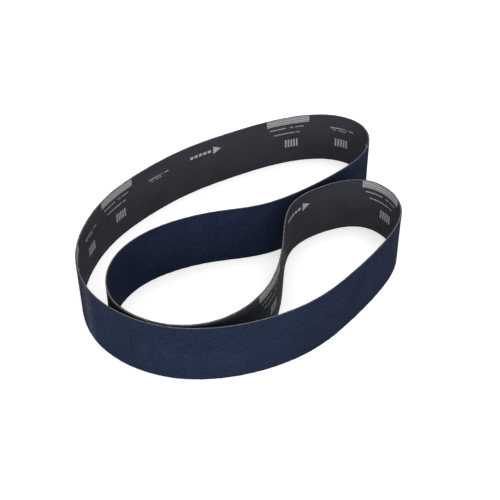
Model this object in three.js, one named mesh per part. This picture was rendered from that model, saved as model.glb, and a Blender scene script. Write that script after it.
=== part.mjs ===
// Endless abrasive belt for a belt grinder: a strip of coated cloth, cut square and joined into a loop.
// It stands on its cut edge, folded by hand into a free closed loop: a long back arm, a turn on the left,
// a front lobe on the right, and a bay pushed in between the two arms.
// Millimetres, +Z up. The front of the loop faces -Y. The origin is under the middle of the loop's box,
// on the surface that the belt stands on.
import * as THREE from "three";

// ---------------------------------------------------------------------------------------------------
// Driving dimensions
// ---------------------------------------------------------------------------------------------------

const BELT_LENGTH = 1524; // 60 in, measured along the cloth face that runs on the wheels
const BELT_WIDTH = 50.8; // 2 in

// Layer thicknesses, from the cloth face outwards to the grit face
const BACK_COAT = 0.08;
const CLOTH = 0.62;
const MAKE_COAT = 0.15;
const GRAIN = 0.35;
const SIZE_COAT = 0.15;

// The splice: a slanted butt joint with a reinforcing tape on the cloth face
const SPLICE_PLACE = 0.2715; // fraction of the belt's length from the first point of the route
const SPLICE_ANGLE = THREE.MathUtils.degToRad(65); // between the joint and the belt's edge
const JOINT_GAP = 0.4; // between the two cut ends
const BEAD_WIDTH = 0.3; // the adhesive bead in that gap
const TAPE_WIDTH = 19;
const TAPE_FILM = 0.12;
const TAPE_ADHESIVE = 0.05;

// The back wall of the bay leans: its lower edge stands out further than its upper edge
const LEAN = 3.5; // at most, between the two edges
const LEAN_PLACE = 0.325; // where it leans most, as a fraction of the length from the route's first point
const LEAN_REACH = 0.095; // either way from there, as a fraction of the length

// The route of the cloth face seen from above, clockwise, so that the grit side lies to its left.
// The spline passes through these points and is then scaled to the belt's length.
const ROUTE = [
  // left turn and long back arm
  [-127, -19],
  [-110, 23],
  [-81, 62],
  [-48, 94],
  [-10, 120],
  [35, 144],
  [82, 153],
  // right end of the back arm
  [114, 132],
  [114, 89],
  // back wall of the bay
  [85, 49],
  [49, 17],
  [12, -4],
  [-33, -15],
  [-79, -40],
  // left end of the bay
  [-103, -80],
  [-96, -125],
  // near wall of the bay, then up its right side
  [-56, -152],
  [-11, -145],
  [21, -108],
  [33, -57],
  [40, -7],
  // front lobe
  [67, 24],
  [110, 34],
  [133, -5],
  // front wall
  [114, -54],
  [85, -93],
  [54, -125],
  [12, -148],
  [-36, -156],
  [-80, -144],
  [-115, -112],
  [-131, -66],
];

// Faceting: a new line across the belt after this turn or this distance, whichever comes first
const LINE_TURN = THREE.MathUtils.degToRad(7.5);
const LINE_STEP = 14;
const SLANT_KEPT = 20; // lines this close to the joint are parallel to it
const SLANT_REACH = 90; // lines further from the joint than this stand upright

// ---------------------------------------------------------------------------------------------------
// The belt's route
// ---------------------------------------------------------------------------------------------------

/** A closed, uniform cubic B-spline that passes through every given point. */
class ClosedSpline extends THREE.Curve {
  constructor(points) {
    super();
    this.arcLengthDivisions = 100 * points.length;
    this.controls = ClosedSpline.controlsFor(points);
  }

  /** Relaxes the controls until the spline's knots sit on the points. */
  static controlsFor(points) {
    const count = points.length;
    const rounds = 60;
    let controls = points;
    for (let round = 0; round < rounds; round++) {
      const previous = controls;
      controls = points.map((point, i) => {
        const before = previous[(i + count - 1) % count];
        const after = previous[(i + 1) % count];
        return point.clone().multiplyScalar(6).sub(before).sub(after).divideScalar(4);
      });
    }
    return controls;
  }

  getPoint(t, target = new THREE.Vector2()) {
    const count = this.controls.length;
    const place = (((t % 1) + 1) % 1) * count;
    const knot = Math.floor(place);
    const u = place - knot;
    const weights = [
      (1 - u) ** 3,
      3 * u ** 3 - 6 * u ** 2 + 4,
      -3 * u ** 3 + 3 * u ** 2 + 3 * u + 1,
      u ** 3,
    ];
    target.set(0, 0);
    weights.forEach((weight, i) => {
      target.addScaledVector(this.controls[(knot + i + count - 1) % count], weight / 6);
    });
    return target;
  }
}

/** The route through the listed points, scaled so that its length is the belt's length. */
function beltRoute() {
  const points = ROUTE.map(([x, y]) => new THREE.Vector2(x, y));
  const scale = BELT_LENGTH / new ClosedSpline(points).getLength();
  return new ClosedSpline(points.map((point) => point.multiplyScalar(scale)));
}

/** How far the lower edge stands out further than the upper edge, at a fraction of the length. */
function leanAt(fraction) {
  const away = Math.min(Math.abs(fraction - LEAN_PLACE) / LEAN_REACH, 1);
  return (LEAN / 2) * (1 + Math.cos(Math.PI * away));
}

/**
 * The point of the cloth face at a distance along the belt from the joint, with its outward normal.
 * side is 1 at the lower edge, 0 halfway up and -1 at the upper edge.
 */
function placeOn(route, distance, side) {
  const fraction = (SPLICE_PLACE + distance / BELT_LENGTH + 1) % 1;
  const along = route.getTangentAt(fraction);
  const outward = new THREE.Vector2(-along.y, along.x);
  const point = route.getPointAt(fraction).addScaledVector(outward, (side * leanAt(fraction)) / 2);
  return { point, outward };
}

/** A line across the belt, from its lower to its upper edge. It slants with the joint where it is near. */
function lineAcross(route, distance) {
  const away = Math.min(Math.abs(distance), BELT_LENGTH - Math.abs(distance));
  const share = 1 - THREE.MathUtils.smoothstep(away, SLANT_KEPT, SLANT_REACH);
  const slant = (share * BELT_WIDTH) / 2 / Math.tan(SPLICE_ANGLE);
  return [placeOn(route, distance - slant, 1), placeOn(route, distance + slant, -1)];
}

/** Distances from the joint for the lines between two others, close together where the route bends. */
function distancesBetween(route, from, to) {
  const distances = [];
  let last = from;
  for (let distance = from; distance < to - LINE_STEP / 2; distance++) {
    const turn = placeOn(route, distance, 0).outward.angleTo(placeOn(route, last, 0).outward);
    if (turn > LINE_TURN || distance - last >= LINE_STEP) {
      distances.push(distance);
      last = distance;
    }
  }
  return distances;
}

// ---------------------------------------------------------------------------------------------------
// Solids
// ---------------------------------------------------------------------------------------------------

/**
 * A closed solid of the belt's full width, between two distances from the cloth face, along a run of lines
 * across the belt. Every facet is split the same way, so that strips over the same lines meet face to face.
 */
function strip(lines, inner, outer) {
  const positions = [];
  for (const [lower, upper] of lines) {
    for (const [place, distance, height] of [
      [lower, inner, 0],
      [lower, outer, 0],
      [upper, outer, BELT_WIDTH],
      [upper, inner, BELT_WIDTH],
    ]) {
      const spot = place.point.clone().addScaledVector(place.outward, distance);
      positions.push(spot.x, spot.y, height);
    }
  }
  const triangles = [0, 2, 1, 0, 3, 2];
  for (let i = 0; i + 1 < lines.length; i++) {
    for (let side = 0; side < 4; side++) {
      const a = 4 * i + side;
      const b = 4 * i + ((side + 1) % 4);
      const c = b + 4;
      const d = a + 4;
      const innerFace = side === 3;
      triangles.push(...(innerFace ? [b, c, d, b, d, a] : [a, b, c, a, c, d]));
    }
  }
  const end = 4 * (lines.length - 1);
  triangles.push(end, end + 1, end + 2, end, end + 2, end + 3);
  const geometry = new THREE.BufferGeometry();
  geometry.setAttribute("position", new THREE.Float32BufferAttribute(positions, 3));
  geometry.setIndex(triangles);
  geometry.computeVertexNormals();
  return geometry;
}

// ---------------------------------------------------------------------------------------------------
// The belt
// ---------------------------------------------------------------------------------------------------

function material(color, roughness) {
  return new THREE.MeshStandardMaterial({ color, roughness, metalness: 0 });
}

function named(name, geometry, finish) {
  const mesh = new THREE.Mesh(geometry, finish);
  mesh.name = name;
  return mesh;
}

/** The laminate's layers, each parted at the joint. */
function laminate(lines) {
  const layers = [
    ["back_coat", BACK_COAT, material(0x2d2e33, 0.9)],
    ["cloth_backing", CLOTH, material(0x3a3a3e, 0.95)],
    ["make_coat", MAKE_COAT, material(0x4a3b2c, 0.6)],
    ["abrasive_grain", GRAIN, material(0x2c3550, 0.9)],
    ["size_coat", SIZE_COAT, material(0x263047, 0.75)],
  ];
  let inner = 0;
  return layers.map(([name, thickness, finish]) => {
    const layer = strip(lines, inner, inner + thickness);
    inner += thickness;
    return named(name, layer, finish);
  });
}

/** The adhesive bead that fills the joint through the whole laminate. */
function seamBead(lines) {
  const thickness = BACK_COAT + CLOTH + MAKE_COAT + GRAIN + SIZE_COAT;
  return named("splice_seam", strip(lines, 0, thickness), material(0x1c2030, 0.5));
}

/** The tape and its adhesive film, which follow the cloth face across the joint. */
function reinforcement(lines) {
  const film = strip(lines, -TAPE_ADHESIVE, 0);
  const tape = strip(lines, -TAPE_ADHESIVE - TAPE_FILM, -TAPE_ADHESIVE);
  return [
    named("splice_adhesive", film, material(0x6d6a55, 0.4)),
    named("splice_tape", tape, material(0x55565a, 0.35)),
  ];
}

/** The whole belt, moved so that the origin is under the middle of its box. */
function belt() {
  const route = beltRoute();
  const alongBelt = 1 / Math.sin(SPLICE_ANGLE); // a width square to the joint, measured along the belt
  const gap = (JOINT_GAP / 2) * alongBelt;
  const bead = (BEAD_WIDTH / 2) * alongBelt;
  const tape = (TAPE_WIDTH / 2) * alongBelt;
  const far = BELT_LENGTH - tape;
  const linesAt = (distances) => distances.map((distance) => lineAcross(route, distance));
  const group = new THREE.Group();
  group.add(
    ...laminate(linesAt([gap, tape, ...distancesBetween(route, tape, far), far, BELT_LENGTH - gap])),
    seamBead(linesAt([-bead, bead])),
    ...reinforcement(linesAt([-tape, -gap, -bead, bead, gap, tape])),
  );
  const middle = new THREE.Box3().setFromObject(group).getCenter(new THREE.Vector3());
  group.position.set(-middle.x, -middle.y, 0);
  group.updateMatrixWorld(true);
  return group;
}

export default belt();
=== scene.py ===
"""Looks of an endless abrasive belt that stands on its cut edge, folded into a free closed loop.

Everything is laid out on the belt itself and then bent along its route. A place on the belt is given by
its distance along the belt from the joint, its height above the lower edge, and how far outside the
cloth face it is: the cloth face runs on the wheels, and the grit face is outermost. Units are metres.
"""
import math

import bmesh
import bpy
import numpy as np
from mathutils import Euler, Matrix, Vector


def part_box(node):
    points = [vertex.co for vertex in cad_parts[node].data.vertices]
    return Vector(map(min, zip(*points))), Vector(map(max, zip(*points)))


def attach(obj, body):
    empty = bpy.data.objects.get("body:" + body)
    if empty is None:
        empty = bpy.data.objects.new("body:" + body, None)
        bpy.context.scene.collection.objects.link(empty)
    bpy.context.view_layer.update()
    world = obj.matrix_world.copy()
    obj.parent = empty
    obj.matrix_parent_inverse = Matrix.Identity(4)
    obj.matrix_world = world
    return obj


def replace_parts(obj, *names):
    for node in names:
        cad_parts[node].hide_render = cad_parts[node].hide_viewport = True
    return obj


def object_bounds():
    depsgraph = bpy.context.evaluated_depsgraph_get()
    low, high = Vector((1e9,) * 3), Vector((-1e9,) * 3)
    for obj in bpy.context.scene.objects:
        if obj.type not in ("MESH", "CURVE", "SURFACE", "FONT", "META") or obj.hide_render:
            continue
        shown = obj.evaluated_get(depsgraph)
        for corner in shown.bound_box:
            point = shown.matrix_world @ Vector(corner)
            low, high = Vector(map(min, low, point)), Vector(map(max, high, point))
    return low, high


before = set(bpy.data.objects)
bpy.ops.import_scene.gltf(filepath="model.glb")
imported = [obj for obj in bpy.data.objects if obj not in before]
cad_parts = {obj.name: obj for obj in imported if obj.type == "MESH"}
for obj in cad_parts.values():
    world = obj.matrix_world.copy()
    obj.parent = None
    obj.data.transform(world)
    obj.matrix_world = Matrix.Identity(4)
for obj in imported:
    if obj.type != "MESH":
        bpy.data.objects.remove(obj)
cad_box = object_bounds()

MM = 0.001
SEED = 60

# Route and joint
TABLE_COUNT = 3048  # points in each edge's table, about 0.5 mm apart
JOINT_ANGLE = math.radians(65)  # between the joint and the belt's edge
JOINT_HALF_GAP = 0.2 * MM / math.sin(JOINT_ANGLE)
TAPE_HALF_WIDTH = 9.5 * MM / math.sin(JOINT_ANGLE)
ADHESIVE_DEPTH = 0.05 * MM
TAPE_DEPTH = 0.12 * MM
SHEEN_BAND_PLACE = 1018 * MM  # middle of the painted sheen band, measured from the joint
SHEEN_BAND_REACH = 12 * MM  # from there to where it has faded out

# Loose pieces
GRAINS_ON_FACE = 13000
GRAINS_ON_EDGES = 3600
FIBRES = 3200

# Meshing
FACE_STEP = 1.0 * MM
EDGE_STEP = 0.5 * MM
HIDDEN_STEP = 7 * MM  # between the rows of a hidden face
SLANT_REACH = 150 * MM  # over which the cross-sections turn from the joint's slant to upright


# ---------------------------------------------------------------------------------------------------
# The belt's route
# ---------------------------------------------------------------------------------------------------


def outline(node, upper):
    """A CAD node's outline at its upper or lower edge, as a closed loop of points in plan."""
    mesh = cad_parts[node].data
    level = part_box(node)[1 if upper else 0].z
    spots = [tuple(round(c, 7) for c in v.co) for v in mesh.vertices]
    links = {}
    for polygon in mesh.polygons:
        if abs(polygon.normal.z) > 0.5:
            continue
        for a, b in polygon.edge_keys:
            a, b = spots[a], spots[b]
            if max(abs(a[2] - level), abs(b[2] - level)) < 0.01 * MM and a != b:
                links.setdefault(a, set()).add(b)
                links.setdefault(b, set()).add(a)
    here = min(links)
    loop = [here]
    while True:
        onward = [spot for spot in sorted(links[here]) if spot not in loop[-2:] and spot != loop[0]]
        if not onward:
            return np.array(loop)[:, :2]
        here = onward[0]
        loop.append(here)


def running_face(node, upper):
    """The cloth face's route: the shorter of the two stretches between the outline's ends at the joint."""
    loop = outline(node, upper)
    steps = np.linalg.norm(np.roll(loop, -1, axis=0) - loop, axis=1)
    first, second = sorted(np.argsort(steps)[:2])
    loop = np.roll(loop, -(first + 1), axis=0)
    steps = np.roll(steps, -(first + 1))
    count = second - first
    one, other = slice(0, count), slice(count, len(loop))
    if steps[one][:-1].sum() < steps[other][:-1].sum():
        route = loop[one]
    else:
        route = loop[other]
    return route[1:-1]


def clockwise(points):
    """A closed loop's points, turned round if they run anticlockwise."""
    x, y = points.T
    area = np.sum(x * np.roll(y, -1) - np.roll(x, -1) * y)
    return points if area < 0 else points[::-1]


def closed_spline(points, per_span=24):
    """Points on the smooth closed curve through the given ones: a periodic cubic spline."""
    count = len(points)
    after = np.roll(points, -1, axis=0)
    span = np.linalg.norm(after - points, axis=1)
    slope = (after - points) / span[:, None]
    system = np.zeros((count, count))
    rows = np.arange(count)
    system[rows, rows] = 2 * (span + np.roll(span, 1))
    system[rows, rows - 1] = np.roll(span, 1)
    system[rows, (rows + 1) % count] = span
    bend = np.linalg.solve(system, 6 * (slope - np.roll(slope, 1, axis=0)))
    bend_after = np.roll(bend, -1, axis=0)
    t = np.linspace(0, 1, per_span, endpoint=False)[None, :, None]
    wide = span[:, None, None]
    curve = (
        points[:, None] * (1 - t)
        + after[:, None] * t
        + wide**2 / 6 * (((1 - t) ** 3 - (1 - t)) * bend[:, None] + (t**3 - t) * bend_after[:, None])
    )
    return curve.reshape(-1, 2)


def evenly_spaced(curve, count):
    """That many points on a closed curve, evenly spaced."""
    closed = np.vstack([curve, curve[:1]])
    along = np.concatenate([[0], np.cumsum(np.linalg.norm(np.diff(closed, axis=0), axis=1))])
    wanted = np.linspace(0, along[-1], count, endpoint=False)
    return np.stack([np.interp(wanted, along, closed[:, axis]) for axis in (0, 1)], axis=1)


class Belt:
    """Bends the flat belt along its route. Its two edges follow routes of their own, because it leans."""

    def __init__(self):
        self.lower = self.edge_from_joint(False)
        self.upper = self.edge_from_joint(True)
        middle = (self.lower + self.upper) / 2
        ahead = np.roll(middle, -2, axis=0) - np.roll(middle, 2, axis=0)
        self.length = np.linalg.norm(np.roll(middle, -1, axis=0) - middle, axis=1).sum()
        ahead /= np.linalg.norm(ahead, axis=1)[:, None]
        self.outward = np.stack([-ahead[:, 1], ahead[:, 0]], axis=1)
        self.width = cad_box[1][2]
        self.reach = self.running_points(True).max(axis=0)[0]

    @staticmethod
    def running_points(upper):
        """The corners of the cloth face's upper or lower edge, clockwise."""
        return clockwise(running_face("back_coat", upper))

    def edge_from_joint(self, upper):
        """Evenly spaced points along the cloth face's upper or lower edge, from beside the joint."""
        points = evenly_spaced(closed_spline(self.running_points(upper)), TABLE_COUNT)
        low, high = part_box("splice_seam")
        joint = np.array((low + high) / 2)[:2]
        start = np.argmin(np.linalg.norm(points - joint, axis=1))
        return np.roll(points, -start, axis=0)

    def outer_face(self, node):
        """How far outside the cloth face a layer's outer face is."""
        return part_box(node)[1].x - self.reach

    def place(self, along, height, out):
        """Points in space for places on the belt. The arguments are arrays of one shape."""
        along, height, out = np.broadcast_arrays(along, height, out)
        spot = (along / self.length % 1) * TABLE_COUNT
        index = np.floor(spot).astype(int)
        share = (spot - index)[..., None]
        index %= TABLE_COUNT
        following = (index + 1) % TABLE_COUNT

        def looked_up(table):
            return table[index] * (1 - share) + table[following] * share

        rise = height[..., None] / self.width
        plan = looked_up(self.lower) * (1 - rise) + looked_up(self.upper) * rise
        plan = plan + looked_up(self.outward) * out[..., None]
        return np.concatenate([plan, height[..., None]], axis=-1)

    def slant(self, height):
        """How far along the belt the slanted joint lies at a height, counted from mid-height."""
        return (np.asarray(height) - self.width / 2) / math.tan(JOINT_ANGLE)


belt = Belt()
CLOTH_FACE = 0.0
FILL_FACE = belt.outer_face("back_coat")
WEAVE_FACE = belt.outer_face("cloth_backing")
RESIN_FACE = belt.outer_face("make_coat")
GRAIN_FACE = belt.outer_face("abrasive_grain")
GRIT_FACE = belt.outer_face("size_coat")


# ---------------------------------------------------------------------------------------------------
# Relief
# ---------------------------------------------------------------------------------------------------


class Field:
    """Smooth random heights over the belt, from about -1 to 1, looked up by place."""

    def __init__(self, seed, reach, cell=FACE_STEP):
        """reach is the smoothing length along and across the belt."""
        rng = np.random.default_rng(SEED + seed)
        margin = 20 * MM
        self.cell = cell
        self.origin = (-margin, -margin)
        shape = (round((belt.length + 2 * margin) / cell), round((belt.width + 2 * margin) / cell))
        values = rng.standard_normal(shape)
        for axis, length in enumerate(reach):
            steps = length / cell
            offsets = np.arange(-math.ceil(3 * steps), math.ceil(3 * steps) + 1)
            kernel = np.exp(-0.5 * (offsets / max(steps, 0.3)) ** 2)
            values = np.apply_along_axis(np.convolve, axis, values, kernel, mode="same")
        self.values = np.clip(values / (2 * values.std()), -1.5, 1.5)

    def at(self, along, height):
        rows, columns = self.values.shape
        i = np.clip((along - self.origin[0]) / self.cell, 0, rows - 1.001)
        j = np.clip((height - self.origin[1]) / self.cell, 0, columns - 1.001)
        i0, j0 = i.astype(int), j.astype(int)
        u, v = i - i0, j - j0
        low = self.values[i0, j0] * (1 - u) + self.values[i0 + 1, j0] * u
        high = self.values[i0, j0 + 1] * (1 - u) + self.values[i0 + 1, j0 + 1] * u
        return low * (1 - v) + high * v


grain_relief = Field(1, (0.6 * MM, 0.6 * MM), cell=0.5 * MM)
coat_relief = Field(2, (6 * MM, 4 * MM))
cloth_relief = Field(3, (9 * MM, 1.5 * MM))
chip_relief = Field(4, (1.2 * MM, 1.2 * MM))


def cloth_out(along, height):
    """Relief of the cloth face: low ridges that run along the belt, as its warp does."""
    return 0.018 * MM * cloth_relief.at(along, height)


# ---------------------------------------------------------------------------------------------------
# Meshes
# ---------------------------------------------------------------------------------------------------


def piece(name, vertices, faces, finish, uv=None):
    """A mesh object that rides on the belt's body."""
    mesh = bpy.data.meshes.new(name)
    mesh.from_pydata(vertices.reshape(-1, 3), [], faces)
    if uv is not None:
        layer = mesh.uv_layers.new(name="belt")
        corner = np.zeros(len(mesh.loops), int)
        mesh.loops.foreach_get("vertex_index", corner)
        layer.data.foreach_set("uv", uv.reshape(-1, 2)[corner].astype(np.float32).ravel())
    mesh.polygons.foreach_set("use_smooth", [True] * len(mesh.polygons))
    mesh.materials.append(finish)
    mesh.validate()
    obj = bpy.data.objects.new(name, mesh)
    bpy.context.scene.collection.objects.link(obj)
    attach(obj, "root")
    return obj


def stations(step):
    """Distances along the belt from one cut end to the other."""
    first, last = JOINT_HALF_GAP, belt.length - JOINT_HALF_GAP
    return np.linspace(first, last, round((last - first) / step))


def slanted_share(along):
    """How much of the joint's slant a cross-section has: all of it near the joint, and none far from it."""
    away = np.minimum(along, belt.length - along)
    share = np.clip(1.1 - away / SLANT_REACH, 0, 1)
    return share**2 * (3 - 2 * share)


def band(name, along, height, out, finish, ripple=None):
    """A closed solid that follows the belt: a section, given as a loop of heights and distances outwards,
    carried along the belt and cut off at the joint's slant. ripple moves each point of it."""
    along = along[:, None] + slanted_share(along)[:, None] * belt.slant(height)[None, :]
    height = np.broadcast_to(height, along.shape)
    out = np.broadcast_to(out, along.shape)
    if ripple:
        along, height, out = ripple(along, height, out)
    vertices = belt.place(along, height, out)
    rows, columns = along.shape
    corner = np.arange(rows * columns).reshape(rows, columns)
    here, there = corner[:-1], corner[1:]
    quads = np.stack([here, np.roll(here, -1, 1), np.roll(there, -1, 1), there], axis=-1)
    faces = quads.reshape(-1, 4).tolist()
    faces.append(corner[0][::-1].tolist())
    faces.append(corner[-1].tolist())
    uv = np.stack([along, height], axis=-1)
    return piece(name, vertices, faces, finish, uv)


# ---------------------------------------------------------------------------------------------------
# Materials
# ---------------------------------------------------------------------------------------------------


class Graph:
    """A material's node tree under construction, with one Principled shader."""

    def __init__(self, name, roughness, ior=1.5):
        self.material = bpy.data.materials.new(name)
        self.material.use_nodes = True
        self.tree = self.material.node_tree
        self.shader = self.tree.nodes["Principled BSDF"]
        self.shader.inputs["Roughness"].default_value = roughness
        self.shader.inputs["IOR"].default_value = ior

    def link(self, value, socket):
        if isinstance(value, bpy.types.NodeSocket):
            self.tree.links.new(value, socket)
        else:
            socket.default_value = value

    def node(self, kind, **inputs):
        made = self.tree.nodes.new(kind)
        for name, value in inputs.items():
            self.link(value, made.inputs[name.replace("_", " ")])
        return made

    def math(self, operation, a, b=0.0):
        made = self.tree.nodes.new("ShaderNodeMath")
        made.operation = operation
        self.link(a, made.inputs[0])
        self.link(b, made.inputs[1])
        return made.outputs[0]

    def remap(self, value, low, high, to_low=0.0, to_high=1.0):
        made = self.node("ShaderNodeMapRange", Value=value, From_Min=low, From_Max=high)
        made.inputs["To Min"].default_value = to_low
        made.inputs["To Max"].default_value = to_high
        return made.outputs["Result"]

    def mix(self, factor, first, second):
        made = self.tree.nodes.new("ShaderNodeMix")
        made.data_type = "RGBA"
        self.link(factor, made.inputs[0])
        self.link(first, made.inputs[6])
        self.link(second, made.inputs[7])
        return made.outputs[2]

    def flat_belt(self):
        """Where the surface lies on the flat belt: along it, and up from its lower edge."""
        made = self.tree.nodes.new("ShaderNodeUVMap")
        made.uv_map = "belt"
        return made.outputs[0]

    def in_space(self):
        return self.tree.nodes.new("ShaderNodeTexCoord").outputs["Object"]

    def stretched(self, vector, factors):
        made = self.tree.nodes.new("ShaderNodeVectorMath")
        made.operation = "MULTIPLY"
        self.link(vector, made.inputs[0])
        made.inputs[1].default_value = factors
        return made.outputs[0]

    def noise(self, vector, size, detail=2.0, roughness=0.5):
        """Noise whose blotches are about that size."""
        made = self.node("ShaderNodeTexNoise", Vector=vector, Scale=1 / size)
        made.inputs["Detail"].default_value = detail
        made.inputs["Roughness"].default_value = roughness
        return made.outputs["Fac"]

    def cells(self, vector, size):
        """Voronoi cells of that size: the distance from each cell's middle, and a random value per cell."""
        made = self.node("ShaderNodeTexVoronoi", Vector=vector, Scale=1 / size)
        shade = self.tree.nodes.new("ShaderNodeSeparateColor")
        self.tree.links.new(made.outputs["Color"], shade.inputs[0])
        return made.outputs["Distance"], shade.outputs[0]

    def bump(self, height, depth, below=None):
        made = self.node("ShaderNodeBump", Height=height, Distance=depth)
        if below is not None:
            self.link(below, made.inputs["Normal"])
        return made.outputs["Normal"]

    def finish(self, colour=None, roughness=None, normal=None):
        for value, name in ((colour, "Base Color"), (roughness, "Roughness"), (normal, "Normal")):
            if value is not None:
                self.link(value, self.shader.inputs[name])
        return self.material


def rgb(red, green, blue):
    return (red, green, blue, 1.0)


def weave(graph, place, pitch):
    """The height of a sateen weave: long floats of warp along the belt, tied down by a weft thread at
    every fifth crossing."""
    parts = graph.tree.nodes.new("ShaderNodeSeparateXYZ")
    graph.link(graph.stretched(place, (1 / pitch, 1 / pitch, 0)), parts.inputs[0])
    u, v = parts.outputs[0], parts.outputs[1]
    warp = graph.math("ABSOLUTE", graph.math("SINE", graph.math("MULTIPLY", v, math.pi)))
    weft = graph.math("ABSOLUTE", graph.math("SINE", graph.math("MULTIPLY", u, math.pi)))
    column = graph.math("MULTIPLY", graph.math("FLOOR", u), 0.4)
    row = graph.math("MULTIPLY", graph.math("FLOOR", v), 0.2)
    phase = graph.math("FRACT", graph.math("ADD", column, row))
    tied = graph.math("LESS_THAN", phase, 0.19)
    over = graph.math("MULTIPLY", weft, tied)
    under = graph.math("MULTIPLY", warp, graph.math("SUBTRACT", 1.0, tied))
    return graph.math("ADD", over, under)


def cloth_colour(graph, place):
    """Charcoal backfill: worn yarn crowns, faint streaks along the belt and a few pale lint specks."""
    height = weave(graph, place, 0.45 * MM)
    streaks = graph.noise(graph.stretched(place, (0.12, 1, 1)), 3 * MM, 3.0)
    blotches = graph.noise(place, 22 * MM, 3.0)
    dark, light = rgb(0.0195, 0.0206, 0.0262), rgb(0.0268, 0.0281, 0.0350)
    base = graph.mix(graph.remap(blotches, 0.3, 0.7), dark, light)
    base = graph.mix(graph.remap(streaks, 0.45, 0.75, 0.0, 0.35), base, rgb(0.038, 0.040, 0.046))
    base = graph.mix(graph.remap(height, 0.2, 1.0, 0.0, 0.45), base, rgb(0.043, 0.045, 0.053))
    distance, chance = graph.cells(place, 4 * MM)
    near = graph.math("LESS_THAN", distance, 0.05)
    speck = graph.math("MULTIPLY", near, graph.math("GREATER_THAN", chance, 0.6))
    return graph.mix(graph.math("MULTIPLY", speck, 0.6), base, rgb(0.16, 0.16, 0.17)), height


def backfill_material():
    graph = Graph("charcoal_backfill", roughness=0.9, ior=1.15)
    place = graph.flat_belt()
    colour, height = cloth_colour(graph, place)
    slubs = graph.bump(graph.noise(graph.stretched(place, (0.08, 1, 1)), 0.9 * MM, 2.0), 0.05 * MM)
    normal = graph.bump(height, 0.07 * MM, slubs)
    roughness = graph.remap(graph.noise(place, 9 * MM), 0.3, 0.7, 0.72, 0.95)
    return graph.finish(colour, roughness, normal)


def painted_sheen_band(graph, place):
    """A soft, patchy band across the belt, painted paler on the grit as a sheen highlight."""
    parts = graph.tree.nodes.new("ShaderNodeSeparateXYZ")
    graph.link(place, parts.inputs[0])
    away = graph.math("ABSOLUTE", graph.math("SUBTRACT", parts.outputs[0], SHEEN_BAND_PLACE))
    patchy = graph.remap(graph.noise(place, 3 * MM, 4.0, 0.7), 0.4, 0.62)
    return graph.math("MULTIPLY", graph.remap(away, 0.0, SHEEN_BAND_REACH, 0.9, 0.0), patchy)


def grit_material():
    graph = Graph("navy_size_coat_over_grain", roughness=0.9, ior=1.09)
    place = graph.flat_belt()
    distance, chance = graph.cells(place, 0.42 * MM)
    _, coarse_chance = graph.cells(place, 0.95 * MM)
    cloud = graph.noise(place, 28 * MM, 4.0, 0.6)
    drawn = graph.noise(graph.stretched(place, (0.1, 1, 1)), 2.5 * MM, 3.0)
    base = graph.mix(graph.remap(cloud, 0.3, 0.7), rgb(0.0054, 0.0094, 0.0224), rgb(0.0120, 0.0174, 0.0374))
    base = graph.mix(graph.remap(chance, 0.0, 1.0, 0.0, 0.7), base, rgb(0.0170, 0.0240, 0.0480))
    base = graph.mix(graph.remap(coarse_chance, 0.55, 1.0, 0.0, 0.6), base, rgb(0.0036, 0.0058, 0.0145))
    base = graph.mix(graph.remap(drawn, 0.55, 0.8, 0.0, 0.3), base, rgb(0.0170, 0.0240, 0.0450))
    # Painted sheen: a paler, patchy band of the grit's colour stands in for a sheen highlight.
    base = graph.mix(painted_sheen_band(graph, place), base, rgb(0.058, 0.062, 0.086))
    near = graph.math("LESS_THAN", distance, 0.16)
    tips = graph.math("MULTIPLY", near, graph.math("GREATER_THAN", chance, 0.86))
    base = graph.mix(graph.math("MULTIPLY", tips, 0.55), base, rgb(0.080, 0.092, 0.145))
    pits = graph.bump(graph.noise(place, 0.16 * MM, 2.0), 0.05 * MM)
    grains = graph.math("SUBTRACT", graph.remap(chance, 0.0, 1.0, 0.6, 1.3), distance)
    normal = graph.bump(grains, 0.16 * MM, pits)
    return graph.finish(base, graph.remap(chance, 0.0, 1.0, 0.75, 1.0), normal)


def grain_material():
    """Single grains: dark ceramic chips with a thin skin of navy resin."""
    graph = Graph("abrasive_grain_chips", roughness=0.55, ior=1.2)
    place = graph.in_space()
    shade = graph.noise(place, 0.8 * MM, 1.0)
    colour = graph.mix(graph.remap(shade, 0.35, 0.65), rgb(0.008, 0.013, 0.031), rgb(0.034, 0.043, 0.076))
    roughness = graph.remap(graph.noise(place, 0.3 * MM), 0.3, 0.7, 0.3, 0.65)
    return graph.finish(colour, roughness)


def grain_bed_material():
    """The broken edge of the grain layer: chips and voids."""
    graph = Graph("cut_grain_layer", roughness=0.7, ior=1.3)
    place = graph.in_space()
    distance, chance = graph.cells(place, 0.33 * MM)
    colour = graph.mix(graph.remap(chance, 0.0, 1.0), rgb(0.010, 0.015, 0.032), rgb(0.075, 0.083, 0.112))
    colour = graph.mix(graph.remap(distance, 0.3, 0.8, 0.0, 0.8), colour, rgb(0.012, 0.013, 0.018))
    return graph.finish(colour, graph.remap(chance, 0.0, 1.0, 0.4, 0.9), graph.bump(distance, 0.12 * MM))


def resin_material():
    graph = Graph("amber_make_coat", roughness=0.35)
    place = graph.in_space()
    drops = graph.noise(place, 0.7 * MM, 3.0)
    colour = graph.mix(graph.remap(drops, 0.3, 0.7), rgb(0.050, 0.034, 0.022), rgb(0.120, 0.082, 0.048))
    return graph.finish(colour, graph.remap(drops, 0.3, 0.7, 0.25, 0.5), graph.bump(drops, 0.04 * MM))


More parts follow.
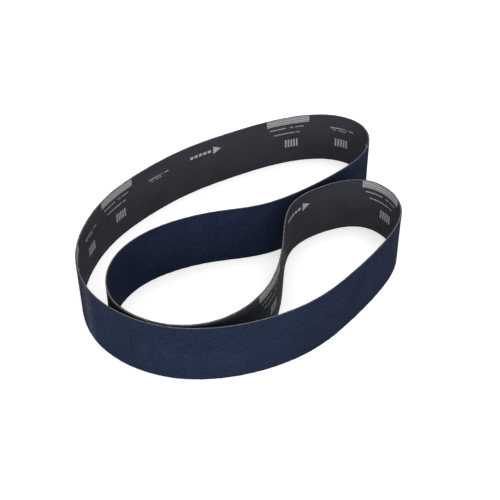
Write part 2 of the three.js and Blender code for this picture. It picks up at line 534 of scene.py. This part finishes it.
def cut_cloth_material():
    """The raw cut edge of the backing: pale yarn ends, dark where the fill has soaked in."""
    graph = Graph("cut_polyester_cloth", roughness=0.95, ior=1.2)
    place = graph.in_space()
    distance, chance = graph.cells(place, 0.45 * MM)
    fibres = graph.noise(place, 0.1 * MM, 2.0)
    soaked = graph.noise(place, 2.6 * MM, 3.0)
    colour = graph.mix(graph.remap(chance, 0.0, 1.0), rgb(0.155, 0.158, 0.168), rgb(0.320, 0.322, 0.330))
    colour = graph.mix(graph.remap(distance, 0.35, 0.8, 0.0, 0.8), colour, rgb(0.042, 0.042, 0.046))
    colour = graph.mix(graph.remap(fibres, 0.5, 0.75, 0.0, 0.5), colour, rgb(0.068, 0.068, 0.073))
    colour = graph.mix(graph.remap(soaked, 0.46, 0.66, 0.0, 0.7), colour, rgb(0.050, 0.050, 0.057))
    return graph.finish(colour, None, graph.bump(fibres, 0.08 * MM))


def fibre_material():
    graph = Graph("loose_polyester_fibre", roughness=0.7, ior=1.4)
    shade = graph.noise(graph.in_space(), 1.5 * MM, 1.0)
    colour = graph.mix(graph.remap(shade, 0.35, 0.65), rgb(0.20, 0.20, 0.21), rgb(0.52, 0.52, 0.52))
    return graph.finish(colour)


def ink_material():
    """Pale grey ink that sits on the yarn crowns and misses the valleys."""
    graph = Graph("pale_grey_ink", roughness=0.8, ior=1.3)
    place = graph.flat_belt()
    cloth, height = cloth_colour(graph, place)
    missed = graph.noise(place, 1.1 * MM, 4.0, 0.65)
    ink = graph.mix(graph.remap(missed, 0.35, 0.65), rgb(0.30, 0.305, 0.315), rgb(0.44, 0.445, 0.455))
    valley = graph.remap(height, 0.05, 0.45, 0.75, 0.0)
    worn = graph.remap(missed, 0.50, 0.68, 0.0, 0.7)
    colour = graph.mix(graph.math("MAXIMUM", valley, worn), ink, cloth)
    return graph.finish(colour, None, graph.bump(height, 0.06 * MM))


def tape_material():
    """Dark reinforced film: fine crossing yarns under a satin skin."""
    graph = Graph("reinforced_splice_film", roughness=0.42, ior=1.4)
    place = graph.flat_belt()
    height = weave(graph, graph.stretched(place, (1, 0.6, 1)), 0.9 * MM)
    haze = graph.noise(place, 5 * MM, 3.0)
    colour = graph.mix(graph.remap(haze, 0.3, 0.7), rgb(0.034, 0.034, 0.036), rgb(0.052, 0.051, 0.050))
    colour = graph.mix(graph.remap(height, 0.5, 1.0, 0.0, 0.5), colour, rgb(0.082, 0.080, 0.076))
    return graph.finish(colour, graph.remap(haze, 0.3, 0.7, 0.34, 0.55), graph.bump(height, 0.05 * MM))


def adhesive_material():
    graph = Graph("squeezed_out_adhesive", roughness=0.25)
    blobs = graph.noise(graph.in_space(), 1.2 * MM, 2.0)
    colour = graph.mix(graph.remap(blobs, 0.3, 0.7), rgb(0.090, 0.080, 0.050), rgb(0.150, 0.130, 0.080))
    return graph.finish(colour, graph.remap(blobs, 0.3, 0.7, 0.18, 0.4), graph.bump(blobs, 0.06 * MM))


def bead_material():
    graph = Graph("cured_joint_bead", roughness=0.6, ior=1.2)
    lumps = graph.noise(graph.in_space(), 0.6 * MM, 2.0)
    colour = graph.mix(graph.remap(lumps, 0.3, 0.7), rgb(0.006, 0.010, 0.022), rgb(0.013, 0.019, 0.040))
    return graph.finish(colour, graph.remap(lumps, 0.3, 0.7, 0.5, 0.75), graph.bump(lumps, 0.06 * MM))


# ---------------------------------------------------------------------------------------------------
# The laminate
# ---------------------------------------------------------------------------------------------------

EDGE_ROWS = np.array([0.0, 0.25, 0.6, 1.1]) * MM


def face_rows():
    """Heights across a visible face, closer together at both edges."""
    first = EDGE_ROWS[-1] + FACE_STEP
    inner = np.linspace(first, belt.width - first, round((belt.width - 2 * first) / FACE_STEP))
    return np.concatenate([EDGE_ROWS, inner, belt.width - EDGE_ROWS[::-1]])


def hidden_rows():
    """Heights across a face that lies on the next layer."""
    return np.linspace(0, belt.width, round(belt.width / HIDDEN_STEP) + 1)


def face_section(visible, hidden):
    """A layer's section as a loop of heights and distances outwards. It goes up its outer side and back
    down its inner side; visible and hidden say how far outwards the two lie."""
    seen, unseen = face_rows(), hidden_rows()
    if visible > hidden:
        return (
            np.concatenate([seen, unseen[::-1]]),
            np.concatenate([np.full(len(seen), visible), np.full(len(unseen), hidden)]),
        )
    return (
        np.concatenate([unseen, seen[::-1]]),
        np.concatenate([np.full(len(unseen), hidden), np.full(len(seen), visible)]),
    )


def from_edge(height):
    """Distance from the nearer cut edge."""
    return np.minimum(height, belt.width - height)


def pulled_in(height, depth, fade):
    """Heights drawn in from both cut edges by depth, fading out over a distance."""
    share = np.clip(1 - from_edge(height) / fade, 0, 1)
    return height + np.where(height < belt.width / 2, 1, -1) * depth * share


def grit_ripple(along, height, out):
    """The grit face: grain under its coat, chipped along the cut edges and ground a little at the joint."""
    outer = out > (GRAIN_FACE + GRIT_FACE) / 2
    grain = 0.09 * MM * grain_relief.at(along, height) + 0.03 * MM * coat_relief.at(along, height)
    worn_edge = 0.08 * MM * np.clip(1 - from_edge(height) / (0.7 * MM), 0, 1) ** 2
    from_joint = np.abs((along - belt.slant(height) + belt.length / 2) % belt.length - belt.length / 2)
    ground = 0.07 * MM * np.clip(1 - from_joint / (2.5 * MM), 0, 1)
    chips = 0.30 * MM * np.clip(chip_relief.at(along, height) + 0.35, 0, 1.4) + 0.05 * MM
    moved = out + np.where(outer, grain - worn_edge - ground, 0)
    return along, pulled_in(height, chips, 2.2 * MM), moved


def grit_face():
    height, out = face_section(GRIT_FACE, GRAIN_FACE - 0.04 * MM)
    along = stations(1.05 * FACE_STEP)
    obj = band("grit_face", along, height, out, grit_material(), grit_ripple)
    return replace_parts(obj, "size_coat")


def running_ripple(along, height, out):
    inner = out < (CLOTH_FACE + FILL_FACE) / 2
    edge = 0.03 * MM * np.clip(1 - from_edge(height) / (0.8 * MM), 0, 1)
    depth = 0.16 * MM * np.clip(chip_relief.at(along + 3 * MM, height) + 0.5, 0, 1.5) + 0.03 * MM
    moved = out + np.where(inner, cloth_out(along, height) + edge, 0)
    return along, pulled_in(height, depth, 2.2 * MM), moved


def cloth_face():
    height, out = face_section(CLOTH_FACE, FILL_FACE + 0.02 * MM)
    along = stations(1.05 * FACE_STEP)
    obj = band("cloth_face", along, height, out, backfill_material(), running_ripple)
    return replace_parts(obj, "back_coat")


def edge_section(low, high, count):
    """A hidden layer's section, with several points along each cut edge."""
    outs = np.linspace(low, high, count)
    inner = hidden_rows()[1:-1]
    height = [np.full(count, belt.width), inner[::-1], np.zeros(count), inner]
    out = [outs[::-1], np.full(len(inner), low), outs, np.full(len(inner), high)]
    return np.concatenate(height), np.concatenate(out)


def ragged_edge(amount, crown, low, high, seed):
    """A cut edge that is uneven by amount, and lower by crown at the layer's two faces."""
    uneven = Field(seed, (0.35 * MM, 0.35 * MM), cell=0.25 * MM)

    def ripple(along, height, out):
        share = (out - low) / (high - low)
        depth = crown * (2 * share - 1) ** 2
        depth = depth + amount * (0.75 + 0.5 * uneven.at(along, share * 9 * MM + height / 3))
        return along, pulled_in(height, np.maximum(depth, 0), MM), out

    return ripple


def cloth_core():
    """The woven backing. It shows along both cut edges."""
    height, out = edge_section(FILL_FACE, WEAVE_FACE, 6)
    ripple = ragged_edge(0.07 * MM, 0.05 * MM, FILL_FACE, WEAVE_FACE, 11)
    obj = band("cloth_core", stations(0.4 * MM), height, out, cut_cloth_material(), ripple)
    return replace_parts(obj, "cloth_backing")


def resin_layer():
    height, out = edge_section(WEAVE_FACE, RESIN_FACE, 2)
    ripple = ragged_edge(0.12 * MM, 0.0, WEAVE_FACE, RESIN_FACE, 12)
    obj = band("resin_layer", stations(EDGE_STEP), height, out, resin_material(), ripple)
    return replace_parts(obj, "make_coat")


def grain_layer():
    height, out = edge_section(RESIN_FACE, GRAIN_FACE, 4)
    ripple = ragged_edge(0.16 * MM, 0.0, RESIN_FACE, GRAIN_FACE, 13)
    along = stations(0.4 * MM)
    obj = band("grain_layer", along, height, out, grain_bed_material(), ripple)
    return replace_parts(obj, "abrasive_grain")


# ---------------------------------------------------------------------------------------------------
# Grains and fibres
# ---------------------------------------------------------------------------------------------------

OCTAHEDRON = np.array([[1, 0, 0], [0, 1, 0], [-1, 0, 0], [0, -1, 0], [0, 0, 1], [0, 0, -1]], float)
UPPER_FACES = [[i, (i + 1) % 4, 4] for i in range(4)]
LOWER_FACES = [[(i + 1) % 4, i, 5] for i in range(4)]
OCTAHEDRON_FACES = np.array(UPPER_FACES + LOWER_FACES)


def random_turns(rng, count):
    """Random rotation matrices, from random unit quaternions."""
    quaternions = rng.standard_normal((4, count))
    w, x, y, z = quaternions / np.linalg.norm(quaternions, axis=0)
    rows = [
        [1 - 2 * (y * y + z * z), 2 * (x * y - w * z), 2 * (x * z + w * y)],
        [2 * (x * y + w * z), 1 - 2 * (x * x + z * z), 2 * (y * z - w * x)],
        [2 * (x * z - w * y), 2 * (y * z + w * x), 1 - 2 * (x * x + y * y)],
    ]
    return np.moveaxis(np.array(rows), 2, 0)


def chips_at(rng, centres, low, high):
    """Sharp eight-sided chips of random shape around the centres."""
    count = len(centres)
    size = rng.uniform(low, high, (count, 1, 1))
    shape = OCTAHEDRON * rng.uniform(0.55, 1.25, (count, 6, 1)) * rng.uniform(0.7, 1.2, (count, 1, 3))
    turned = np.einsum("nij,nkj->nki", random_turns(rng, count), shape * size)
    return centres[:, None] + turned


def proud_grains():
    """The largest grains, which stand out of the coat and of its cut edges."""
    rng = np.random.default_rng(SEED + 21)
    along = rng.uniform(0, belt.length, GRAINS_ON_FACE)
    height = rng.uniform(0.3 * MM, belt.width - 0.3 * MM, GRAINS_ON_FACE)
    face = belt.place(along, height, GRIT_FACE + rng.uniform(-0.10, 0.02, GRAINS_ON_FACE) * MM)
    along = rng.uniform(0, belt.length, GRAINS_ON_EDGES)
    height = np.where(rng.random(GRAINS_ON_EDGES) < 0.5, 0.24 * MM, belt.width - 0.14 * MM)
    edge = belt.place(along, height, rng.uniform(RESIN_FACE, GRIT_FACE, GRAINS_ON_EDGES))
    face_chips = chips_at(rng, face, 0.12 * MM, 0.24 * MM)
    chips = np.concatenate([face_chips, chips_at(rng, edge, 0.10 * MM, 0.19 * MM)])
    faces = OCTAHEDRON_FACES[None] + 6 * np.arange(len(chips))[:, None, None]
    obj = piece("proud_grains", chips, faces.reshape(-1, 3).tolist(), grain_material())
    obj.data.polygons.foreach_set("use_smooth", [False] * len(obj.data.polygons))
    return obj


def edge_fibres():
    """Loose fibre ends that the slitting knife left along both cut edges."""
    rng = np.random.default_rng(SEED + 22)
    count, rings = FIBRES, 4
    along = rng.uniform(0, belt.length, count)
    upper = rng.random(count) < 0.5
    root_height = np.where(upper, belt.width - 0.12 * MM, 0.15 * MM)
    root_out = rng.uniform(FILL_FACE, WEAVE_FACE, count)
    length = rng.gamma(2.2, 0.22, count).clip(0.2, 1.6) * MM
    lean = rng.uniform(-1.2, 1.2, count)
    rise = np.where(upper, rng.uniform(0.1, 0.75, count), rng.uniform(0.0, 0.12, count))
    spread = rng.uniform(-0.7, 0.7, count)
    curl = rng.uniform(-0.5, 0.5, count)
    share = np.linspace(0, 1, rings)[None, :]
    run = length[:, None] * share
    ring_along = along[:, None] + run * lean[:, None] + curl[:, None] * run * share
    ring_height = root_height[:, None] + run * rise[:, None]
    ring_out = root_out[:, None] + run * (spread[:, None] + curl[:, None] * share)
    radius = 0.026 * MM * (1 - 0.7 * share)
    corners = []
    for angle in (0, 2 * math.pi / 3, 4 * math.pi / 3):
        aside, up = radius * math.cos(angle), radius * math.sin(angle)
        corners.append(belt.place(ring_along, ring_height + up, ring_out + aside))
    vertices = np.stack(corners, axis=2)
    faces = []
    for ring in range(rings - 1):
        for corner in range(3):
            onward = (corner + 1) % 3
            one, other = 3 * ring + corner, 3 * ring + onward
            faces.append([one, other, other + 3, one + 3])
    starts = 3 * rings * np.arange(count)[:, None, None]
    sides = (np.array(faces)[None] + starts).reshape(-1, 4).tolist()
    roots = (np.array([[2, 1, 0]])[None] + starts).reshape(-1, 3).tolist()
    tips = (np.array([[0, 1, 2]])[None] + 3 * (rings - 1) + starts).reshape(-1, 3).tolist()
    return piece("edge_fibres", vertices, sides + roots + tips, fibre_material())


# ---------------------------------------------------------------------------------------------------
# The joint
# ---------------------------------------------------------------------------------------------------


def joint_bead():
    """Cured adhesive that fills the gap between the belt's two ends, a little below the grit."""
    rise = belt.width / 60
    height = np.arange(0, 61) * rise
    section_height = np.concatenate([height, height[::-1]])
    out = np.concatenate([np.full(61, GRIT_FACE - 0.06 * MM), np.full(61, CLOTH_FACE)])
    across = np.linspace(-JOINT_HALF_GAP, JOINT_HALF_GAP, 5)
    lumps = Field(31, (0.9 * MM, 0.9 * MM))

    def ripple(along, height, out):
        crown = 1 - ((along - belt.slant(height)) / JOINT_HALF_GAP) ** 2
        outer = out > GRIT_FACE / 2
        moved = out + np.where(outer, 0.10 * MM * crown + 0.06 * MM * lumps.at(along, height), 0)
        return along, pulled_in(height, 0.15 * MM, 2 * MM), moved

    obj = band("joint_bead", across, section_height, out, bead_material(), ripple)
    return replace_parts(obj, "splice_seam")


def joint_strip(name, slot, finish, half_width, inner, outer, inset, wander):
    """A strip stuck over the joint on the cloth side, parallel to the joint's slant. It stops short of the
    belt's edges by inset, and its two long edges wander."""
    height, out = face_section(inner, outer)
    across = np.linspace(-half_width, half_width, 45)
    edge = Field(32, (0.8 * MM, 1.6 * MM))

    def ripple(along, height, out):
        middle = belt.slant(height)
        away = (along - middle) / half_width
        moved_along = along + away**8 * wander * edge.at(along, height)
        lift = 0.02 * MM * edge.at(along + 30 * MM, height)
        round_off = np.where(out < (inner + outer) / 2, (outer - inner) * 0.6 * np.abs(away) ** 40, 0)
        return moved_along, pulled_in(height, inset, 2 * MM), out + round_off + lift

    return band(name, across, height, out, finish, ripple)


def joint_tape():
    """Reinforcing film over the joint. Its texture shows through as fine crossing yarns."""
    inner = CLOTH_FACE - ADHESIVE_DEPTH - TAPE_DEPTH
    outer = CLOTH_FACE - ADHESIVE_DEPTH + 0.02 * MM
    sizes = (TAPE_HALF_WIDTH, inner, outer, 0.25 * MM, 0.15 * MM)
    obj = joint_strip("joint_tape", "splice_tape", tape_material(), *sizes)
    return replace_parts(obj, "splice_tape")


def tape_adhesive():
    """The film's adhesive, squeezed out a little past its two long edges."""
    inner = CLOTH_FACE - ADHESIVE_DEPTH
    outer = CLOTH_FACE + 0.02 * MM
    sizes = (TAPE_HALF_WIDTH + 0.3 * MM, inner, outer, 0.12 * MM, 0.30 * MM)
    obj = joint_strip("tape_adhesive", "splice_adhesive", adhesive_material(), *sizes)
    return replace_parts(obj, "splice_adhesive")


# ---------------------------------------------------------------------------------------------------
# Print on the cloth face
# ---------------------------------------------------------------------------------------------------

PRINT_TURN = 203  # mm, one turn of the printing roller
INTERRUPTED = (13 + 5 * PRINT_TURN) * MM  # the pattern that the next one starts over
PRINT_STARTS = [(13 + PRINT_TURN * k) * MM for k in range(6)] + [1131 * MM, 1334 * MM]
INK_TOP = CLOTH_FACE - 0.022 * MM
INK_ROOT = CLOTH_FACE + 0.015 * MM


def rectangle(left, right, low, high, lean=0.0):
    """A bar's outline, in mm along the pattern and above the lower edge. lean moves its top corners."""
    return [(left, low), (right, low), (right + lean, high), (left + lean, high)]


def printed_bar():
    """A solid bar along the upper edge, divided by three thin unprinted lines."""
    bars = []
    for low, high in ((43.6, 44.5), (45.0, 46.7), (47.2, 48.9), (49.4, 50.4)):
        left, right = (2.5 - low / 60, low), (44 + low / 30, low)
        bars.append([left, right, (44.5 + high / 30, high), (2 - high / 60, high)])
    return bars


def dashes(rng, left, right, low, high):
    """A row of small upright dashes of uneven width, in place of small print."""
    marks = []
    x = left
    while x < right:
        width = rng.uniform(0.6, 1.5)
        if rng.random() > 0.16:
            marks.append(rectangle(x, min(x + width, right), low, high, lean=0.12))
        x += width + rng.uniform(0.45, 0.7)
    return marks


def arrow(left, right, low, high):
    """A dashed shaft and a solid head, which show the way the belt runs."""
    middle, half = (low + high) / 2, (high - low) / 2
    neck = right - 2.2 * half
    marks = []
    for x in np.arange(left, neck - 3.5, 5.0):
        marks.append(rectangle(x, x + 3.6, middle - half * 0.34, middle + half * 0.34))
    marks.append([(neck, low), (right, middle), (neck, high)])
    return marks


def flat_polygons(outlines):
    """A flat mesh with one face for each outline, which is in mm."""
    mesh = bmesh.new()
    for outline in outlines:
        mesh.faces.new([mesh.verts.new((x * MM, y * MM, 0)) for x, y in outline])
    return mesh


def stripes(left, low, high):
    """Five plain upright stripes, in place of large print."""
    return [rectangle(left + 2.9 * k, left + 2.9 * k + 1.7, low, high) for k in range(5)]


def cut_up(mesh, step):
    """Cuts a flat mesh into strips and rows, so that it can bend."""
    for axis in (0, 1):
        values = [vertex.co[axis] for vertex in mesh.verts]
        low, high = min(values), max(values)
        direction = [0, 0, 0]
        direction[axis] = 1
        for cut in np.arange(math.ceil(low / step) * step, high, step):
            spot = [0, 0, 0]
            spot[axis] = cut
            everything = list(mesh.verts) + list(mesh.edges) + list(mesh.faces)
            bmesh.ops.bisect_plane(mesh, geom=everything, dist=1e-7, plane_co=spot, plane_no=direction)
    bmesh.ops.triangulate(mesh, faces=mesh.faces)


def inked(name, outlines, starts, ink):
    """Flat marks, laid on the cloth face from each start as a thin film of ink."""
    mesh = flat_polygons(outlines)
    cut_up(mesh, FACE_STEP)
    bmesh.ops.recalc_face_normals(mesh, faces=mesh.faces)
    for face in mesh.faces:
        if face.normal.z < 0:
            face.normal_flip()
    mesh.verts.index_update()
    flat = np.array([vertex.co[:2] for vertex in mesh.verts])
    count = len(flat)
    faces = []
    for face in mesh.faces:
        corners = [vertex.index for vertex in face.verts]
        faces.append(corners)
        faces.append([corner + count for corner in reversed(corners)])
        for loop in face.loops:
            if len(loop.edge.link_faces) == 1:
                a, b = loop.vert.index, loop.link_loop_next.vert.index
                faces.append([b, a, a + count, b + count])
    mesh.free()
    along = np.array(starts)[:, None] + flat[:, 0]
    height = np.broadcast_to(flat[:, 1], along.shape)
    relief = cloth_out(along, height)
    top = belt.place(along, height, INK_TOP + relief)
    root = belt.place(along, height, INK_ROOT + relief)
    vertices = np.concatenate([top, root], axis=1)
    uv = np.stack([np.tile(along, 2), np.tile(height, 2)], axis=-1)
    shifts = [2 * count * copy for copy in range(len(starts))]
    copies = [[corner + shift for corner in face] for shift in shifts for face in faces]
    return piece(name, vertices, copies, ink, uv)


def print_on_cloth():
    rng = np.random.default_rng(SEED + 40)
    ink = ink_material()
    alternate = PRINT_STARTS[1:6:2] + PRINT_STARTS[-1:]
    whole = [start for start in PRINT_STARTS if start != INTERRUPTED]
    small = dashes(rng, 5, 40, 38.9, 40.2) + dashes(rng, 9, 36, 32.9, 34.2)
    group = dashes(rng, 67, 92, 36.4, 37.8) + dashes(rng, 70, 84, 34.2, 35.2)
    inked("print_bars", printed_bar(), PRINT_STARTS, ink)
    inked("print_rows", small, PRINT_STARTS, ink)
    inked("print_marks", group, PRINT_STARTS, ink)
    inked("print_stripes", stripes(21, 17.5, 26.0), PRINT_STARTS, ink)
    inked("print_stripes_between", stripes(72, 17, 25.5), alternate, ink)
    inked("print_arrows", arrow(118, 153, 34, 42), whole, ink)


# ---------------------------------------------------------------------------------------------------
# Stage
# ---------------------------------------------------------------------------------------------------


FLOOR_REACH = 6.0
FLOOR_GLOW = 0.46
WORLD_STRENGTH = 0.50
LENS = 65.53
SENSOR_WIDTH = 36
CAMERA_SPOT = (0.00547, -0.63744, 0.48913)
CAMERA_DOWN = math.radians(37.38)
CAMERA_ROLL = math.radians(-0.36)


def white_floor():
    """A plain floor that glows a little, so that it stays white inside the belt's loops."""
    mesh = bpy.data.meshes.new("floor")
    low, high = -FLOOR_REACH, FLOOR_REACH
    corners = [(low, low, 0), (high, low, 0), (high, high, 0), (low, high, 0)]
    mesh.from_pydata(corners, [], [(0, 1, 2, 3)])
    graph = Graph("matt_white_floor", roughness=0.9, ior=1.2)
    cloud = graph.noise(graph.in_space(), 0.4, 2.0)
    colour = graph.mix(cloud, rgb(0.90, 0.90, 0.90), rgb(0.92, 0.92, 0.92))
    graph.shader.inputs["Emission Color"].default_value = rgb(1, 1, 1)
    graph.shader.inputs["Emission Strength"].default_value = FLOOR_GLOW
    mesh.materials.append(graph.finish(colour))
    floor = bpy.data.objects.new("floor", mesh)
    bpy.context.scene.collection.objects.link(floor)


def soft_light(name, spot, target, size, power):
    light = bpy.data.lights.new(name, "AREA")
    light.shape = "RECTANGLE"
    light.size, light.size_y = size
    light.energy = power
    lamp = bpy.data.objects.new(name, light)
    lamp.location = spot
    lamp.rotation_euler = (Vector(target) - Vector(spot)).to_track_quat("-Z", "Y").to_euler()
    bpy.context.scene.collection.objects.link(lamp)


def studio():
    world = bpy.data.worlds.new("studio")
    world.use_nodes = True
    background = world.node_tree.nodes["Background"]
    background.inputs["Color"].default_value = rgb(1, 1, 1)
    background.inputs["Strength"].default_value = WORLD_STRENGTH
    bpy.context.scene.world = world
    bpy.context.scene.view_settings.view_transform = "Standard"
    middle = (0, 0, belt.width / 2)
    soft_light("front_light", (-0.15, -1.65, 0.42), middle, (1.4, 0.5), 27)
    soft_light("top_light", (0.2, 0.1, 1.6), middle, (1.2, 1.2), 12)


def camera():
    data = bpy.data.cameras.new("camera")
    data.lens = LENS
    data.sensor_width = SENSOR_WIDTH
    eye = bpy.data.objects.new("camera", data)
    eye.location = CAMERA_SPOT
    down = Euler((math.radians(90) - CAMERA_DOWN, 0, 0)).to_matrix()
    roll = Euler((0, 0, CAMERA_ROLL)).to_matrix()
    eye.rotation_euler = (down @ roll).to_euler()
    bpy.context.scene.collection.objects.link(eye)
    bpy.context.scene.camera = eye


# ---------------------------------------------------------------------------------------------------
# The whole belt
# ---------------------------------------------------------------------------------------------------

grit_face()
cloth_face()
core = cloth_core()
resin_layer()
grain_layer()
proud_grains()
edge_fibres()
joint_bead()
tape_adhesive()
joint_tape()
print_on_cloth()
white_floor()
studio()
camera()
